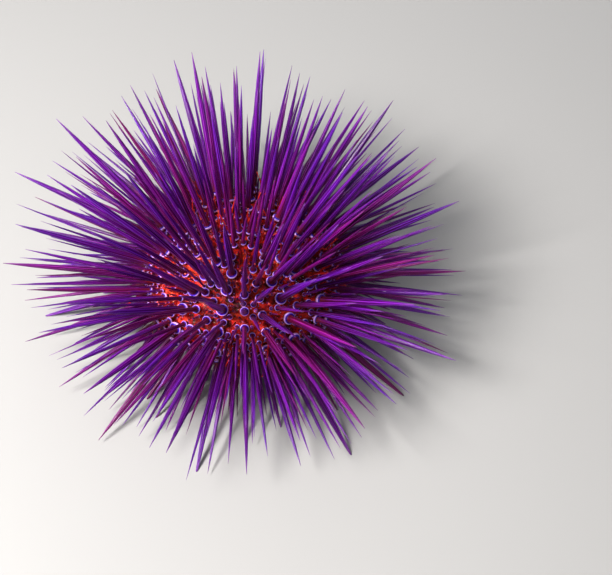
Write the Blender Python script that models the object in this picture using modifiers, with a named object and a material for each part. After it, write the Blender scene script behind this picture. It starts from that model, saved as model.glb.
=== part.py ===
"""Purple sea urchin, life size, at rest on its mouth side.

Metres, +Z up. The origin is on the floor under the middle of the spread of the spines, and the front is -Y.
The shell has ten zones, five narrow and five wide, between the apical disc on top and the mouth below, and each
carries its own spines. Angles down the shell run from its top. Bearings run from -Y towards +X.
"""
import math
import random
from collections import namedtuple

import bmesh
import bpy
from mathutils import Matrix, Vector

# The shell
TEST_RADIUS = 0.028
DOME_HEIGHT = 0.0178
BELLY_DEPTH = 0.0115
BELLY_POWER = 0.8
STANDING_CLEARANCE = 0.0065
WAIST_HEIGHT = STANDING_CLEARANCE + BELLY_DEPTH
AXIS_PLACE = (0.0022, -0.0012)

# The zones of the shell, in degrees
ZONES = 5
AMBULACRUM_WIDTH = 27.0
INTERAMBULACRUM_WIDTH = 360.0 / ZONES - AMBULACRUM_WIDTH
FIRST_AMBULACRUM = 12.0
FACET = 9.0
OUTLINE_STEPS = 15
CUTTER_REACH = 0.2
CUTTER_MIDDLE = 0.05

# The discs at the two ends of the shell
APICAL_RADIUS = 0.0056
APICAL_THICKNESS = 0.003
MOUTH_RADIUS = 0.0105
MOUTH_THICKNESS = 0.0022
MEMBRANE_SAG = 0.0009
MEMBRANE_BEND = 0.6
LIP_RADIUS = 0.0024
TEETH = 5
TOOTH_LENGTH = 0.0032
TOOTH_THICKNESS = 0.0012
TOOTH_EDGE = 0.0004
TOOTH_SUNK = 0.0004
TOOTH_ROOT_RADIUS = LIP_RADIUS - 0.00084
TOOTH_TIP_RADIUS = 0.0003

JOINT_GAP = 0.0003
MERGE = 0.00001

# The spines: a column is a line of them down the shell, on both sides of its zone. Its offset is in degrees from
# the middle of the zone, its spacing and its spines' thickness are in metres, and its reach is a share of the
# longest spines' length. The spines of a main column may stand on the floor. Those of the other columns fill the
# fan round the waist, and over the dome they are fewer, shorter and thinner.
Column = namedtuple("Column", "zone offset spacing thickness reach main")
COLUMNS = (
    Column("interambulacrum", 13.5, 0.0064, 0.0027, 1.0, True),
    Column("interambulacrum", 4.5, 0.0060, 0.0019, 0.84, True),
    Column("interambulacrum", 19.0, 0.0054, 0.0016, 0.90, False),
    Column("interambulacrum", 9.0, 0.0056, 0.0013, 0.76, False),
    Column("ambulacrum", 6.2, 0.0052, 0.0020, 0.88, True),
    Column("ambulacrum", 11.2, 0.0052, 0.0014, 0.86, False),
    Column("ambulacrum", 2.0, 0.0050, 0.0011, 0.68, False),
)
COLUMN_START = (0.57, 0.07)
CROWDING = 0.4
DOME_END = 74.0
DOME_SHARE = 0.42
DOME_LENGTH = 0.36
DOME_THICKNESS = 0.75
LONGEST_SPINE = 0.0424
LENGTH_BY_ANGLE = (
    (10, 0.60), (35, 0.86), (60, 0.98), (90, 1.0), (105, 0.85), (118, 0.60), (132, 0.38), (155, 0.2),
)
LENGTH_SPREAD = 0.05
LONGER_SIDE = -150.0
LONGER_SHARE = 0.06
SLIMMING = 0.28
LEAN = 5.0
OFFSET_SPREAD = 0.5
STATION_STEP = 0.25
SPINE_SIDES = 5
ROOT_DEPTH = 0.0018
KNEE = 0.5
KNEE_THICKNESS = 0.84
FOOT_THICKNESS = 0.0009
TIP_CLEARANCE = 0.0012
ROOT_GAP = 0.0004
SEED = 20

# The spines that fill the room between the columns: how many at most in a zone, and their ranges of angle, of
# thickness and of reach
Filling = namedtuple("Filling", "zone most angles thickness reach")
FILLINGS = (
    Filling("interambulacrum", 6, (13.0, 62.0), (0.0013, 0.0018), (0.66, 0.84)),
    Filling("ambulacrum", 4, (13.0, 62.0), (0.0012, 0.0015), (0.62, 0.80)),
    Filling("interambulacrum", 12, (66.0, 112.0), (0.0011, 0.0017), (0.76, 0.96)),
    Filling("ambulacrum", 6, (66.0, 112.0), (0.0011, 0.0015), (0.72, 0.92)),
)
FILLING_TRIES = 300

APICAL_SPINES = 10
APICAL_SPINE_LENGTHS = (0.014, 0.022)
APICAL_SPINE_THICKNESS = 0.0014
APICAL_SPINE_PLACES = (0.38, 0.72)
APICAL_SPINE_SPREAD = 0.12
APICAL_SPINE_LEAN = 0.0018

# Colours
ZONE_LOOKS = {
    "interambulacrum": ((0.16, 0.012, 0.30), 0.38),
    "ambulacrum": ((0.12, 0.010, 0.24), 0.38),
    "apical_disc": ((0.22, 0.015, 0.05), 0.5),
    "mouth": ((0.42, 0.10, 0.10), 0.45),
}

Spine = namedtuple("Spine", "root tip thickness stands")


def clear_scene():
    """Start with nothing in the file."""
    for obj in list(bpy.data.objects):
        bpy.data.objects.remove(obj, do_unlink=True)


def new_collection(name):
    """A named collection in the scene."""
    collection = bpy.data.collections.new(name)
    bpy.context.scene.collection.children.link(collection)
    return collection


def add_object(name, bm, collection):
    """An object in a collection, from a mesh that is being edited."""
    mesh = bpy.data.meshes.new(name)
    bm.to_mesh(mesh)
    bm.free()
    obj = bpy.data.objects.new(name, mesh)
    collection.objects.link(obj)
    return obj


def make_material(name, colour, roughness):
    """A plain coloured finish."""
    material = bpy.data.materials.new(name)
    material.use_nodes = True
    shader = material.node_tree.nodes["Principled BSDF"]
    shader.inputs["Base Color"].default_value = (*colour, 1.0)
    shader.inputs["Roughness"].default_value = roughness
    shader.inputs["Metallic"].default_value = 0.0
    return material


def length_share(angle):
    """Share of the longest spine's length at an angle in degrees from the top."""
    pairs = LENGTH_BY_ANGLE
    if angle <= pairs[0][0]:
        return pairs[0][1]
    for (low, share_low), (high, share_high) in zip(pairs, pairs[1:]):
        if angle <= high:
            return share_low + (share_high - share_low) * (angle - low) / (high - low)
    return pairs[-1][1]


def outline(angle):
    """Radius and height of the shell's outline at an angle in degrees from the top."""
    turn = math.radians(angle)
    radius = TEST_RADIUS * math.sin(turn)
    if angle <= 90:
        return radius, WAIST_HEIGHT + DOME_HEIGHT * math.cos(turn)
    return radius, WAIST_HEIGHT - BELLY_DEPTH * abs(math.cos(turn)) ** BELLY_POWER


def outward(angle):
    """Radial and upward parts of the shell's normal at an angle in degrees from the top."""
    low = outline(angle - 0.05)
    high = outline(angle + 0.05)
    along = (high[0] - low[0], high[1] - low[1])
    size = math.hypot(*along)
    return -along[1] / size, along[0] / size


def angle_of_radius(radius):
    """Angle in degrees from the nearer pole at which the outline has a radius."""
    return math.degrees(math.asin(radius / TEST_RADIUS))


def stations(first, spacing, margin):
    """Angles down the shell between the two discs, closer together towards the discs."""
    angle = angle_of_radius(APICAL_RADIUS + margin)
    last = 180 - angle_of_radius(MOUTH_RADIUS + margin + ROOT_DEPTH / 2)
    left = first
    while angle < last:
        if left <= 0:
            yield angle
            left += spacing * (1 - CROWDING * (1 - math.sin(math.radians(angle))))
        here = outline(angle)
        angle += STATION_STEP
        there = outline(angle)
        left -= math.hypot(there[0] - here[0], there[1] - here[1])


def turned_about_z(vector, degrees):
    """A vector turned about the vertical."""
    return Matrix.Rotation(math.radians(degrees), 3, "Z") @ vector


def zone_spines(kind, number, bearing, width):
    """The spines of one zone, laid out with the zone's middle along +X."""
    spines = []
    half = math.radians(width / 2)
    for index, column in enumerate(COLUMNS):
        if column.zone != kind:
            continue
        margin = column.thickness / 2 + ROOT_GAP
        for side, start in zip((-1, 1), COLUMN_START):
            for row, angle in enumerate(stations(start * column.spacing, column.spacing, margin)):
                draw = random.Random(SEED + row + 100 * (side + 1) + 1000 * index + 10000 * number)
                spine = grow(column, side, angle, bearing, draw)
                on_dome = not column.main and angle < DOME_END
                if on_dome:
                    spine = shortened(spine)
                    if draw.random() > DOME_SHARE:
                        continue
                if has_room(spine, spines, half):
                    spines.append(kept_inside(spine, half))
    for index, filling in enumerate(FILLINGS):
        if filling.zone == kind:
            draw = random.Random(SEED + 10 * index + number)
            spines += fill_in(filling, spines, bearing, width, draw)
    return spines


def shortened(spine):
    """The short thin form that a spine of a lesser column has on the dome."""
    tip = spine.root + DOME_LENGTH * (spine.tip - spine.root)
    return Spine(spine.root, tip, DOME_THICKNESS * spine.thickness, spine.stands)


def has_room(spine, others, half):
    """Whether a spine's root is clear of the zone's two sides and of other spines."""
    margin = spine.thickness / 2 + ROOT_GAP
    wall = math.sin(half) * spine.root.x - math.cos(half) * abs(spine.root.y)
    crowded = any((spine.root - other.root).length <= margin + other.thickness / 2 for other in others)
    return wall > margin and not crowded


def fill_in(filling, others, bearing, width, draw):
    """More spines in the room that a zone's columns leave."""
    half = math.radians(width / 2)
    grown = []
    for _ in range(FILLING_TRIES):
        column = Column(filling.zone, draw.uniform(-width, width) / 2, 0.0, draw.uniform(*filling.thickness),
                        draw.uniform(*filling.reach), False)
        spine = grow(column, 1, draw.uniform(*filling.angles), bearing, draw)
        if len(grown) < filling.most and has_room(spine, [*others, *grown], half):
            grown.append(kept_inside(spine, half))
    return grown


def grow(column, side, angle, bearing, draw):
    """One spine of a column, with its chance lean and length, before it is kept inside its zone."""
    radius, height = outline(angle)
    offset = side * column.offset + draw.uniform(-OFFSET_SPREAD, OFFSET_SPREAD)
    root = turned_about_z(Vector((radius, 0, height)), offset)
    lean = draw.uniform(-LEAN, LEAN)
    sway = draw.uniform(-LEAN, LEAN)
    tall = 1 + draw.uniform(-LENGTH_SPREAD, LENGTH_SPREAD)
    tall *= 1 + LONGER_SHARE * math.cos(math.radians(bearing + offset - LONGER_SIDE))
    length = LONGEST_SPINE * column.reach * length_share(angle) * tall
    out, up = outward(angle)
    direction = Matrix.Rotation(math.radians(lean), 3, "Y") @ Vector((out, 0, up))
    direction = turned_about_z(direction, offset + sway)
    thickness = column.thickness * (1 - SLIMMING * (1 - math.sin(math.radians(angle))))
    return Spine(root, root + length * direction, thickness, column.main)


def level_tip(root, tip, height):
    """The tip of a spine of the same length and bearing that ends at a height."""
    length = (tip - root).length
    flat = Vector((tip.x - root.x, tip.y - root.y, 0)).normalized()
    drop = root.z - height
    return root + flat * math.sqrt(max(length * length - drop * drop, 0)) - Vector((0, 0, drop))


def kept_inside(spine, half):
    """A spine with its tip off the floor, or on it where it stands, and clear of the zone's two sides."""
    root, tip, thickness, stands = spine
    lowest = TIP_CLEARANCE
    stands = stands and tip.z < lowest
    if tip.z < lowest:
        tip = level_tip(root, tip, 0.0 if stands else lowest)
    room = thickness / 2 + JOINT_GAP
    limit = tip.x * math.tan(half) - room / math.cos(half)
    if abs(tip.y) > limit:
        length = (tip - root).length
        tip = Vector((tip.x, math.copysign(limit, tip.y), tip.z))
        if not stands:
            tip = root + (tip - root).normalized() * length
    return Spine(root, tip, thickness, stands)


def add_spine(spine, bearing, name, collection):
    """A tapered spine whose root is sunk in the shell, pointed, or with a small flat where it stands."""
    shaft = (spine.tip - spine.root).length
    knee = shaft if spine.stands else KNEE * shaft
    end = FOOT_THICKNESS if spine.stands else spine.thickness * KNEE_THICKNESS
    bm = bmesh.new()
    middle = Matrix.Translation((0, 0, (knee - ROOT_DEPTH) / 2))
    bmesh.ops.create_cone(bm, cap_ends=True, segments=SPINE_SIDES, radius1=spine.thickness / 2, radius2=end / 2,
                          depth=knee + ROOT_DEPTH, matrix=middle)
    bm.faces.ensure_lookup_table()
    top = max(bm.faces, key=lambda face: face.calc_center_median().z)
    rim = list(top.verts)
    if not spine.stands:
        point = bmesh.ops.poke(bm, faces=[top])["verts"][0]
        point.co = (0, 0, shaft)
    direction = (spine.tip - spine.root).normalized()
    bmesh.ops.transform(bm, matrix=direction.to_track_quat("Z", "Y").to_matrix().to_4x4(), verts=bm.verts)
    bmesh.ops.translate(bm, vec=spine.root, verts=bm.verts)
    if spine.stands:
        for vertex in rim:
            vertex.co -= direction * (vertex.co.z / direction.z)
    turn = Matrix.Rotation(math.radians(bearing - 90), 3, "Z")
    bmesh.ops.rotate(bm, verts=bm.verts, cent=(0, 0, 0), matrix=turn)
    return add_object(name, bm, collection)


def applied(obj):
    """Make an object's modifiers part of its mesh."""
    evaluated = obj.evaluated_get(bpy.context.evaluated_depsgraph_get())
    mesh = bpy.data.meshes.new_from_object(evaluated)
    obj.modifiers.clear()
    obj.data = mesh
    return obj


def turned(name, profile, collection, start=0.0):
    """A solid of revolution from a profile of (radius, height) that runs down its outer side."""
    bm = bmesh.new()
    rim = [bm.verts.new((radius, 0.0, height)) for radius, height in profile]
    for above, below in zip(rim, rim[1:]):
        bm.edges.new((above, below))
    bmesh.ops.rotate(bm, verts=rim, cent=(0, 0, 0), matrix=Matrix.Rotation(math.radians(start), 3, "Z"))
    obj = add_object(name, bm, collection)
    screw = obj.modifiers.new("Turn", "SCREW")
    screw.steps = screw.render_steps = round(360 / FACET)
    screw.use_merge_vertices = True
    screw.merge_threshold = MERGE
    return applied(obj)


def wedge(name, bearing, width, collection):
    """A tapered block that holds one zone, clear of its neighbours by half the joint gap each side."""
    half = math.radians(width / 2)
    slant = JOINT_GAP / 2 / math.cos(half)
    near = (slant + JOINT_GAP / 4) / math.tan(half)
    bm = bmesh.new()
    bmesh.ops.create_cube(bm, size=1.0)
    for vertex in bm.verts:
        reach = near if vertex.co.x < 0 else CUTTER_REACH
        side = reach * math.tan(half) - slant
        vertex.co = (reach, math.copysign(side, vertex.co.y), CUTTER_REACH * vertex.co.z + CUTTER_MIDDLE)
    turn = Matrix.Rotation(math.radians(bearing - 90), 3, "Z")
    bmesh.ops.rotate(bm, verts=bm.verts, cent=(0, 0, 0), matrix=turn)
    obj = add_object(name, bm, collection)
    obj.hide_render = True
    obj.display_type = "WIRE"
    return obj


def cut_to(obj, cutter):
    """Keep only what lies inside the cutter."""
    boolean = obj.modifiers.new("Zone", "BOOLEAN")
    boolean.operation = "INTERSECT"
    boolean.object = cutter
    boolean.solver = "EXACT"
    return applied(obj)


def fuse(obj, collection):
    """Join an object and a collection of closed pieces into one solid, and drop the pieces."""
    boolean = obj.modifiers.new("Fuse", "BOOLEAN")
    boolean.operation = "UNION"
    boolean.operand_type = "COLLECTION"
    boolean.collection = collection
    boolean.solver = "EXACT"
    applied(obj)
    for piece in list(collection.objects):
        bpy.data.objects.remove(piece, do_unlink=True)
    bpy.data.collections.remove(collection)
    keep_largest(obj)


def keep_largest(obj):
    """Keep only the closed surface that holds most."""
    bm = bmesh.new()
    bm.from_mesh(obj.data)
    bmesh.ops.triangulate(bm, faces=bm.faces)
    left = set(bm.verts)
    surfaces = []
    while left:
        stack = [left.pop()]
        surface = set(stack)
        while stack:
            for edge in stack.pop().link_edges:
                for vertex in edge.verts:
                    if vertex in left:
                        left.remove(vertex)
                        surface.add(vertex)
                        stack.append(vertex)
        surfaces.append(surface)

    def held(surface):
        faces = {face for vertex in surface for face in vertex.link_faces}
        return abs(sum(face.verts[0].co.dot(face.verts[1].co.cross(face.verts[2].co)) for face in faces))

    largest = max(surfaces, key=held)
    bmesh.ops.delete(bm, geom=[vertex for vertex in bm.verts if vertex not in largest], context="VERTS")
    bm.to_mesh(obj.data)
    bm.free()


def place(obj, material):
    """Finish a node: its material, its shading and its place on the floor."""
    obj.data.materials.clear()
    obj.data.materials.append(material)
    obj.data.transform(Matrix.Translation((*AXIS_PLACE, 0.0)))
    obj.data.shade_smooth()
    obj.data.set_sharp_from_angle(angle=math.radians(40))
    return obj


def zone_profile():
    """Outline of the shell, with a recess at each end for the two discs."""
    top = angle_of_radius(APICAL_RADIUS + JOINT_GAP / 2)
    bottom = 180 - angle_of_radius(MOUTH_RADIUS + JOINT_GAP / 2)
    apical_floor = outline(top)[1] - APICAL_THICKNESS - JOINT_GAP
    mouth_roof = outline(bottom)[1] + MOUTH_THICKNESS + JOINT_GAP
    shell = [outline(top + (bottom - top) * step / OUTLINE_STEPS) for step in range(OUTLINE_STEPS + 1)]
    return [
        (0.0, apical_floor),
        (APICAL_RADIUS + JOINT_GAP / 2, apical_floor),
        *shell,
        (MOUTH_RADIUS + JOINT_GAP / 2, mouth_roof),
        (0.0, mouth_roof),
    ]


def build_zones(collection, cutters, materials):
    """The ten zones: each is cut from the turned shell and gets its spines."""
    for number in range(ZONES):
        middle = FIRST_AMBULACRUM + 360 / ZONES * number
        zones = (
            ("ambulacrum", middle, AMBULACRUM_WIDTH),
            ("interambulacrum", middle + 180 / ZONES, INTERAMBULACRUM_WIDTH),
        )
        for kind, bearing, width in zones:
            name = f"{kind}_{number + 1}"
            start = (FIRST_AMBULACRUM - AMBULACRUM_WIDTH / 2) % FACET
            body = turned(name, zone_profile(), collection, start)
            cut_to(body, wedge(f"cut_{name}", bearing, width, cutters))
            pieces = new_collection(f"spines_{name}")
            for index, spine in enumerate(zone_spines(kind, number, bearing, width)):
                add_spine(spine, bearing, f"spine_{name}_{index}", pieces)
            fuse(body, pieces)
            place(body, materials[kind])


def build_apical_disc(collection, materials):
    """The small disc of plates on top of the shell, with its upright spines."""
    rim = angle_of_radius(APICAL_RADIUS - JOINT_GAP / 2)
    bottom = outline(angle_of_radius(APICAL_RADIUS + JOINT_GAP / 2))[1] - APICAL_THICKNESS
    crown = [outline(rim * share) for share in (0.0, 0.5, 1.0)]
    profile = [*crown, (APICAL_RADIUS - JOINT_GAP / 2, bottom), (0.0, bottom)]
    disc = turned("apical_disc", profile, collection)
    pieces = new_collection("spines_apical_disc")
    for index in range(APICAL_SPINES):
        draw = random.Random(SEED - 1 - index)
        out = APICAL_RADIUS * APICAL_SPINE_PLACES[index % 2]
        height = outline(angle_of_radius(out))[1]
        length = APICAL_SPINE_LENGTHS[index % 2]
        length *= 1 + draw.uniform(-APICAL_SPINE_SPREAD, APICAL_SPINE_SPREAD)
        lean = APICAL_SPINE_LEAN
        tip = Vector((out + lean, draw.uniform(-lean, lean), height + length))
        spine = Spine(Vector((out, 0, height)), tip, APICAL_SPINE_THICKNESS, False)
        add_spine(spine, 360 / APICAL_SPINES * index, f"spine_apical_disc_{index}", pieces)
    fuse(disc, pieces)
    place(disc, materials["apical_disc"])


def build_mouth(collection, materials):
    """The skin round the mouth, with the tips of the five teeth."""
    rim = MOUTH_RADIUS - JOINT_GAP / 2
    level = outline(180 - angle_of_radius(MOUTH_RADIUS + JOINT_GAP / 2))[1]
    roof = level + MOUTH_THICKNESS
    hollow = level + MOUTH_THICKNESS / 2
    profile = [
        (0.0, roof),
        (rim, roof),
        (rim, level),
        (MEMBRANE_BEND * rim, level - 0.7 * MEMBRANE_SAG),
        (LIP_RADIUS + MEMBRANE_SAG, level - MEMBRANE_SAG),
        (LIP_RADIUS, level),
        (LIP_RADIUS, hollow),
        (0.0, hollow),
    ]
    skin = turned("mouth", profile, collection)
    pieces = new_collection("teeth")
    for index in range(TEETH):
        root = Vector((TOOTH_ROOT_RADIUS, 0, hollow))
        tip = Vector((TOOTH_TIP_RADIUS, 0, hollow - TOOTH_LENGTH))
        bearing = FIRST_AMBULACRUM + 180 / TEETH + 360 / TEETH * index
        add_tooth(root, tip, bearing, f"tooth_{index + 1}", pieces)
    fuse(skin, pieces)
    place(skin, materials["mouth"])


def add_tooth(root, tip, bearing, name, collection):
    """A chisel-like tooth that leans in towards the middle of the mouth."""
    direction = (tip - root).normalized()
    depth = (tip - root).length + TOOTH_SUNK
    bm = bmesh.new()
    middle = Matrix.Translation((0, 0, depth / 2 - TOOTH_SUNK))
    bmesh.ops.create_cone(bm, cap_ends=True, segments=4, radius1=TOOTH_THICKNESS / 2, radius2=TOOTH_EDGE / 2,
                          depth=depth, matrix=middle)
    bmesh.ops.transform(bm, matrix=direction.to_track_quat("Z", "Y").to_matrix().to_4x4(), verts=bm.verts)
    bmesh.ops.translate(bm, vec=root, verts=bm.verts)
    turn = Matrix.Rotation(math.radians(bearing - 90), 3, "Z")
    bmesh.ops.rotate(bm, verts=bm.verts, cent=(0, 0, 0), matrix=turn)
    return add_object(name, bm, collection)


def main():
    """Build the animal."""
    clear_scene()
    urchin = new_collection("sea_urchin")
    cutters = new_collection("cutters")
    materials = {name: make_material(name, *look) for name, look in ZONE_LOOKS.items()}
    build_zones(urchin, cutters, materials)
    build_apical_disc(urchin, materials)
    build_mouth(urchin, materials)


main()
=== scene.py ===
"""The purple sea urchin, dressed: one skin, its spines, pincers, tube feet and teeth, in a plain studio.

Metres, +Z up, the origin on the floor under the middle of the spread of the spines, the front at -Y.
Angles down the shell run from its top and bearings run from -Y towards +X, both in degrees.
"""
import random
from collections import namedtuple
from itertools import product
from math import asin, atan2, copysign, cos, degrees, dist, hypot, pi, radians, sin, sqrt, tan

import bmesh
import bpy
import numpy as np
from mathutils import Matrix, Vector


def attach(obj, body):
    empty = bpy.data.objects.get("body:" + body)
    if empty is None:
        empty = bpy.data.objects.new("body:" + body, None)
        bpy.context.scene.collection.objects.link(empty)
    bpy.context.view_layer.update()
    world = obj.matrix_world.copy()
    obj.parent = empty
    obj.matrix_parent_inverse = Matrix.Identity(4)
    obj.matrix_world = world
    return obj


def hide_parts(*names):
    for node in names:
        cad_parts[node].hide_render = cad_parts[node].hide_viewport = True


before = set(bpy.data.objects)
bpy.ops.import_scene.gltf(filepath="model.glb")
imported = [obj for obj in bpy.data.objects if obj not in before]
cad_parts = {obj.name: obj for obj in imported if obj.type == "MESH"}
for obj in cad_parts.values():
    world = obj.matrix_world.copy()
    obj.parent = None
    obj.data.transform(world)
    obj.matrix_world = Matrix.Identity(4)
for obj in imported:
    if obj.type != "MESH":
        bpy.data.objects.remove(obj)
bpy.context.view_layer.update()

# The shell, its zones and its columns of spines, as in the solids
TEST_RADIUS = 0.028
DOME_HEIGHT = 0.0178
BELLY_DEPTH = 0.0115
BELLY_POWER = 0.8
WAIST_HEIGHT = 0.018
AXIS_PLACE = Vector((0.0022, -0.0012, 0.0))
SLOPE_STEP = 0.05
ZONES = 5
ZONE_TURN = 360 / ZONES
AMBULACRUM_WIDTH = 27.0
INTERAMBULACRUM_WIDTH = 45.0
FIRST_AMBULACRUM = 12.0
APICAL_RADIUS = 0.0056
MOUTH_RADIUS = 0.0105
MOUTH_THICKNESS = 0.0022
JOINT_GAP = 0.0003
WIDE = "interambulacrum"
NARROW = "ambulacrum"
Column = namedtuple("Column", "zone offset spacing thickness reach main")
COLUMNS = (
    Column(WIDE, 13.5, 0.0064, 0.0027, 1.0, True),
    Column(WIDE, 4.5, 0.006, 0.0019, 0.84, True),
    Column(WIDE, 19.0, 0.0054, 0.0016, 0.9, False),
    Column(WIDE, 9.0, 0.0056, 0.0013, 0.76, False),
    Column(NARROW, 6.2, 0.0052, 0.002, 0.88, True),
    Column(NARROW, 11.2, 0.0052, 0.0014, 0.86, False),
    Column(NARROW, 2.0, 0.005, 0.0011, 0.68, False),
)
COLUMN_START = (0.57, 0.07)
CROWDING = 0.4
DOME_END = 74.0
DOME_SHARE = 0.42
DOME_LENGTH = 0.36
DOME_THICKNESS = 0.75
LONGEST_SPINE = 0.0424
LENGTH_BY_ANGLE = (
    (10, 0.6), (35, 0.86), (60, 0.98), (90, 1.0), (105, 0.85), (118, 0.6), (132, 0.38), (155, 0.2),
)
LENGTH_SPREAD = 0.05
LONGER_SIDE = -150.0
LONGER_SHARE = 0.06
SLIMMING = 0.28
LEAN = 5.0
OFFSET_SPREAD = 0.5
STATION_STEP = 0.25
ROOT_DEPTH = 0.0018
TIP_CLEARANCE = 0.0012
ROOT_GAP = 0.0004
SEED = 20
SIDE_SEEDS = 100
COLUMN_SEEDS = 1000
ZONE_SEEDS = 10000
FILLING_SEEDS = 10
Filling = namedtuple("Filling", "zone most angles thickness reach")
FILLINGS = (
    Filling(WIDE, 6, (13.0, 62.0), (0.0013, 0.0018), (0.66, 0.84)),
    Filling(NARROW, 4, (13.0, 62.0), (0.0012, 0.0015), (0.62, 0.8)),
    Filling(WIDE, 12, (66.0, 112.0), (0.0011, 0.0017), (0.76, 0.96)),
    Filling(NARROW, 6, (66.0, 112.0), (0.0011, 0.0015), (0.72, 0.92)),
)
FILLING_TRIES = 300
APICAL_SPINES = 10
APICAL_SPINE_LENGTHS = (0.014, 0.022)
APICAL_SPINE_THICKNESS = 0.0014
APICAL_SPINE_PLACES = (0.38, 0.72)
APICAL_SPINE_SPREAD = 0.12
APICAL_SPINE_LEAN = 0.0018

# The skin lies a little inside the solids, and its unwrap is two discs in one square
SKIN_DEPTH = 0.0007
TOP_ANGLE = 0.06
ARC_STEPS = 10
UNWRAP_CENTRES = (0.25, 0.75)
UNWRAP_LEVEL = 0.5
UNWRAP_REACH = 0.235
PATCH = 0.003

# The soft skin round the mouth, as (share of the mouth's radius, share of the sag)
MEMBRANE_SAG = 0.0012
MEMBRANE = (
    (0.96, 0.1), (0.9, -0.1), (0.8, -0.35), (0.7, -0.5), (0.6, -0.62), (0.5, -0.75), (0.42, -0.95),
    (0.36, -1.1), (0.31, -1.12), (0.27, -1), (0.24, -0.7), (0.22, -0.2), (0.21, 0.5), (0.18, 0.9),
)

# A root keeps a share of its thickness free round it, and short spines have the redder tints
ROOT_SHARE = 0.62
CELL = 0.004
SHORT_SHARE = 0.6
SHORT_TINT = 0.6

# The finer spines: how many places are tried, from which angle to which, and the gap that each needs
Finer = namedtuple("Finer", "kind tries thickness reach angles gap")
FINER = (
    Finer("filling", 2500, (0.0009, 0.0013), (0.4, 0.85), (70, 122), 0.0001),
    Finer("filling", 1200, (0.0006, 0.0009), (0.1, 0.22), (24, 135), 0.0003),
    Finer("small", 2500, (0.0004, 0.0006), (0.04, 0.09), (4, 152), 0.0004),
)
FINER_LEAN = 0.1
SHORTEST_SPINE = 0.002

# The soft parts: how they bow and lean, and their lengths above the underside and on it
Soft = namedtuple("Soft", "tries angles room above below thickness bow lean")
FEET = Soft(2600, (9, 150), 0.00042, (0.003, 0.008), (0.003, 0.006), (0.00042, 0.00056), 0.3, 0.3)
PINCERS = Soft(9000, (3, 156), 0.00034, (0.001, 0.0026), (0.001, 0.0026), (0.00024, 0.00036), 0.25, 0.35)
UNDERSIDE = 95
FOOT_COLUMNS = (-9.0, 9.0, -12.4, 12.4)
FOOT_SPREAD = 1.6
MOUTH_LEAN = 0.3
MOUTH_FOOT_SHARE = 0.62
MOUTH_FOOT_APART = 9.0
MOUTH_FOOT_LENGTHS = (0.0024, 0.0032)
MOUTH_FOOT_THICKNESS = 0.001
MOUTH_FOOT_BOW = 0.2
MOUTH_FOOT_ROOM = 0.0008
MOUTH_PINCER_TRIES = 700
MOUTH_PINCER_SHARES = (0.16, 0.92)
MOUTH_PINCER_LENGTHS = (0.0006, 0.0013)

VECTOR = "FLOAT_VECTOR"
Spine = namedtuple("Spine", "root tip thickness stands")
Growth = namedtuple("Growth", "root axis length thickness tint patch bow")


# Layout of the shell and its spines

def length_share(angle):
    """Share of the longest spine's length at an angle."""
    pairs = LENGTH_BY_ANGLE
    if angle <= pairs[0][0]:
        return pairs[0][1]
    for (low, share_low), (high, share_high) in zip(pairs, pairs[1:]):
        if angle <= high:
            return share_low + (share_high - share_low) * (angle - low) / (high - low)
    return pairs[-1][1]


def outline(angle):
    """Radius and height of the shell's outline at an angle."""
    turn = radians(angle)
    radius = TEST_RADIUS * sin(turn)
    if angle <= 90:
        return radius, WAIST_HEIGHT + DOME_HEIGHT * cos(turn)
    return radius, WAIST_HEIGHT - BELLY_DEPTH * abs(cos(turn)) ** BELLY_POWER


def outward(angle):
    """Radial and upward parts of the shell's normal at an angle."""
    low = outline(angle - SLOPE_STEP)
    high = outline(angle + SLOPE_STEP)
    along = (high[0] - low[0], high[1] - low[1])
    size = hypot(*along)
    return -along[1] / size, along[0] / size


def angle_of_radius(radius):
    """Angle from the nearer pole at which the outline has a radius."""
    return degrees(asin(radius / TEST_RADIUS))


def stations(first, spacing, margin):
    """Angles down the shell between the two discs, closer together towards the discs."""
    angle = angle_of_radius(APICAL_RADIUS + margin)
    last = 180 - angle_of_radius(MOUTH_RADIUS + margin + ROOT_DEPTH / 2)
    left = first
    while angle < last:
        if left <= 0:
            yield angle
            left += spacing * (1 - CROWDING * (1 - sin(radians(angle))))
        here = outline(angle)
        angle += STATION_STEP
        there = outline(angle)
        left -= hypot(there[0] - here[0], there[1] - here[1])


def turned_about_z(vector, angle):
    """A vector turned about the vertical."""
    return Matrix.Rotation(radians(angle), 3, "Z") @ vector


def zone_spines(kind, number, bearing, width):
    """The spines of one zone, laid out with the zone's middle along +X."""
    spines = []
    half = radians(width / 2)
    for index, column in enumerate(COLUMNS):
        if column.zone != kind:
            continue
        margin = column.thickness / 2 + ROOT_GAP
        for side, start in zip((-1, 1), COLUMN_START):
            seed = SEED + SIDE_SEEDS * (side + 1) + COLUMN_SEEDS * index + ZONE_SEEDS * number
            for row, angle in enumerate(stations(start * column.spacing, column.spacing, margin)):
                draw = random.Random(seed + row)
                spine = grow(column, side, angle, bearing, draw)
                if not column.main and angle < DOME_END:
                    spine = shortened(spine)
                    if draw.random() > DOME_SHARE:
                        continue
                if has_room(spine, spines, half):
                    spines.append(kept_inside(spine, half))
    for index, filling in enumerate(FILLINGS):
        if filling.zone == kind:
            draw = random.Random(SEED + FILLING_SEEDS * index + number)
            spines += fill_in(filling, spines, bearing, width, draw)
    return spines


def shortened(spine):
    """The short thin form that a spine of a lesser column has on the dome."""
    tip = spine.root + DOME_LENGTH * (spine.tip - spine.root)
    return spine._replace(tip=tip, thickness=DOME_THICKNESS * spine.thickness)


def has_room(spine, others, half):
    """Whether a spine's root is clear of the zone's two sides and of other spines."""
    margin = spine.thickness / 2 + ROOT_GAP
    wall = sin(half) * spine.root.x - cos(half) * abs(spine.root.y)
    crowded = any((spine.root - other.root).length <= margin + other.thickness / 2 for other in others)
    return wall > margin and not crowded


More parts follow.
